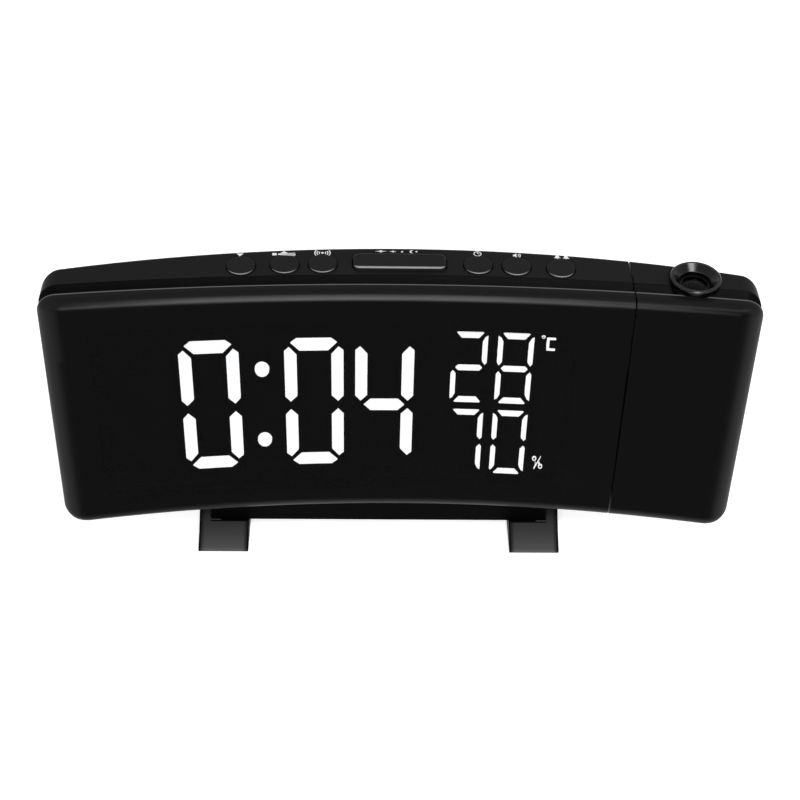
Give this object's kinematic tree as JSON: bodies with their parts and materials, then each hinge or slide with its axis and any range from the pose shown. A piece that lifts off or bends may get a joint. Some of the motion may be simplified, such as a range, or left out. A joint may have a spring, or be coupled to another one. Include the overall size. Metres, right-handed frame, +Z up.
{
  "type": "projection alarm clock",
  "caption": "Curved free-standing alarm clock with a segment display, top buttons, a two-footed stand and a swivelling end that projects the time.",
  "frame": {"origin": "on the table top, under the middle of the clock's footprint", "axes": "+X along the clock towards the projector end, +Y from the display to the back, +Z up"},
  "size_m": [0.202, 0.0407, 0.0956],
  "materials": {
    "smoked_cover": "satin, see-through smoke",
    "end_cover": "satin",
    "casing": "satin",
    "button": "satin",
    "stand": "satin",
    "ring": "gloss",
    "reflector": "matt",
    "lit_segment": "lit from behind",
    "unlit_segment": "matt",
    "led": "gloss",
    "circuit_board": "satin",
    "chip": "matt",
    "capacitor": "satin",
    "connector": "matt",
    "ribbon": "satin",
    "inner_plastic": "matt",
    "speaker_frame": "satin",
    "speaker_cone": "matt paper",
    "magnet": "plated",
    "contact": "nickel plated",
    "screw": "blackened",
    "bush": "matt acetal",
    "washer": "spring steel",
    "lens_glass": "polished",
    "pad": "matt"
  },
  "bodies": {
    "clock": {"front_cover": "smoked_cover", "rear_housing": "casing", "segment_reflector": "reflector", "lit_diffusers": "lit_segment", "unlit_diffusers": "unlit_segment", "display_leds": "led", "display_board": "circuit_board", "main_board": "circuit_board", "control_chips": "chip", "capacitors": "capacitor", "board_connectors": "connector", "ribbon_cable": "ribbon", "power_jack": "inner_plastic", "speaker_frame": "speaker_frame", "speaker_cone": "speaker_cone", "speaker_magnet": "magnet", "climate_sensor": "circuit_board", "battery_contacts": "contact", "button_board": "circuit_board", "tact_switches": "inner_plastic", "housing_screws": "screw", "board_screws": "screw", "pivot_bush": "bush", "friction_washer": "washer", "stand_bar": "stand", "foot_left": "stand", "foot_right": "stand", "foot_pads": "pad", "stand_screws": "screw"},
    "battery_door": {"battery_door": "casing"},
    "button_down": {"button_down": "button"},
    "button_up": {"button_up": "button"},
    "button_radio": {"button_radio": "button"},
    "snooze_bar": {"snooze_bar": "button"},
    "button_set": {"button_set": "button"},
    "button_volume": {"button_volume": "button"},
    "button_alarm": {"button_alarm": "button"},
    "projector": {"projector_cover": "end_cover", "projector_housing": "casing", "pivot_hub": "inner_plastic", "hub_retainer": "washer", "projector_barrel": "inner_plastic", "projection_lcd": "lens_glass", "barrel_spacers": "inner_plastic", "condenser_lens": "lens_glass", "led_board": "circuit_board", "projection_led": "led", "projector_screws": "screw"},
    "focus_ring": {"focus_ring": "ring"},
    "lens_cell": {"lens_cell": "inner_plastic", "projection_lens": "lens_glass"}
  },
  "joints": [
    {"name": "projector_turn", "type": "hinge", "parent": "clock", "child": "projector", "pos_m": [0.0648, -0.0016, 0.0529], "axis": [1, 0, 0], "range_deg": [-90, 90]},
    {"name": "focus_turn", "type": "hinge", "parent": "projector", "child": "focus_ring", "pos_m": [0.0821, -0.0016, 0.0933], "axis": [0, 0, 1], "range_deg": [-58, 58]},
    {"name": "lens_shift", "type": "slide", "parent": "projector", "child": "lens_cell", "axis": [0, 0, 1], "range_m": [-0.001, 0.001]},
    {"name": "battery_door_pull", "type": "slide", "parent": "clock", "child": "battery_door", "axis": [0, 1, 0], "range_m": [0, 0.025]},
    {"name": "button_down_press", "type": "slide", "parent": "clock", "child": "button_down", "axis": [0, 0, -1], "range_m": [0, 0.0007], "stiffness_N_per_m": 400, "springref_m": -0.003},
    {"name": "button_up_press", "type": "slide", "parent": "clock", "child": "button_up", "axis": [0, 0, -1], "range_m": [0, 0.0007], "stiffness_N_per_m": 400, "springref_m": -0.003},
    {"name": "button_radio_press", "type": "slide", "parent": "clock", "child": "button_radio", "axis": [0, 0, -1], "range_m": [0, 0.0007], "stiffness_N_per_m": 400, "springref_m": -0.003},
    {"name": "snooze_press", "type": "slide", "parent": "clock", "child": "snooze_bar", "axis": [0, 0, -1], "range_m": [0, 0.0007], "stiffness_N_per_m": 400, "springref_m": -0.003},
    {"name": "button_set_press", "type": "slide", "parent": "clock", "child": "button_set", "axis": [0, 0, -1], "range_m": [0, 0.0007], "stiffness_N_per_m": 400, "springref_m": -0.003},
    {"name": "button_volume_press", "type": "slide", "parent": "clock", "child": "button_volume", "axis": [0, 0, -1], "range_m": [0, 0.0007], "stiffness_N_per_m": 400, "springref_m": -0.003},
    {"name": "button_alarm_press", "type": "slide", "parent": "clock", "child": "button_alarm", "axis": [0, 0, -1], "range_m": [0, 0.0007], "stiffness_N_per_m": 400, "springref_m": -0.003}
  ],
  "couplings": [
    {"joint": "focus_turn", "follows": "lens_shift", "rad_per_m": 1000}
  ]
}
